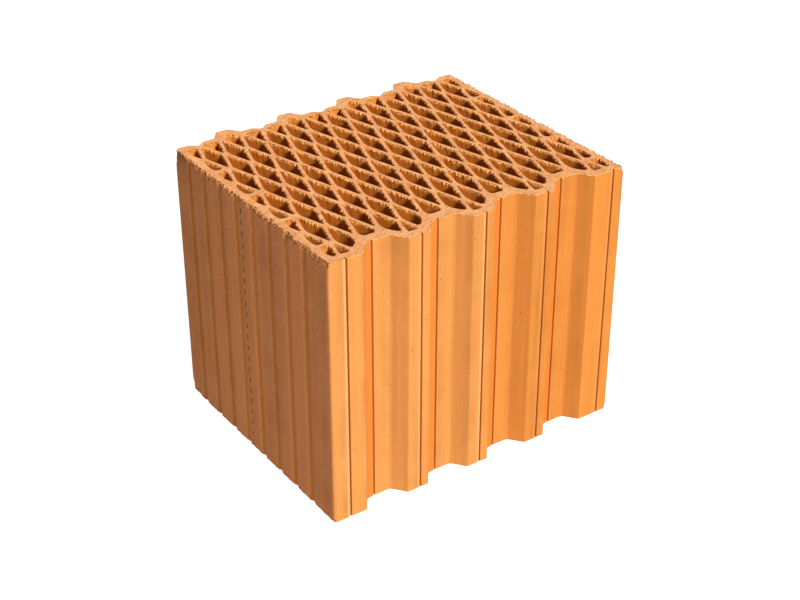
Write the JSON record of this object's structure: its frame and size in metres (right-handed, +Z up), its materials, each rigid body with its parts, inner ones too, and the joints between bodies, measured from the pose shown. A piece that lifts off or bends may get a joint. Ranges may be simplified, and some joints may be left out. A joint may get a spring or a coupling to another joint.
{
  "type": "hollow clay block",
  "caption": "Hollow fired clay wall block with a lattice of upright diamond holes, tongues along one face and matching grooves along the opposite face.",
  "frame": {"origin": "bottom centre of the box round the block, at the middle of its lower bed face", "axes": "+X across the wall from one smooth face to the other, +Y along the wall towards the face with the tongues, +Z up along the holes"},
  "size_m": [0.3, 0.2606, 0.249],
  "materials": {
    "fired_clay": "matt fired clay, ground on the two bed faces"
  },
  "bodies": {
    "root": {"hollow_clay_block": "fired_clay"}
  },
  "joints": []
}
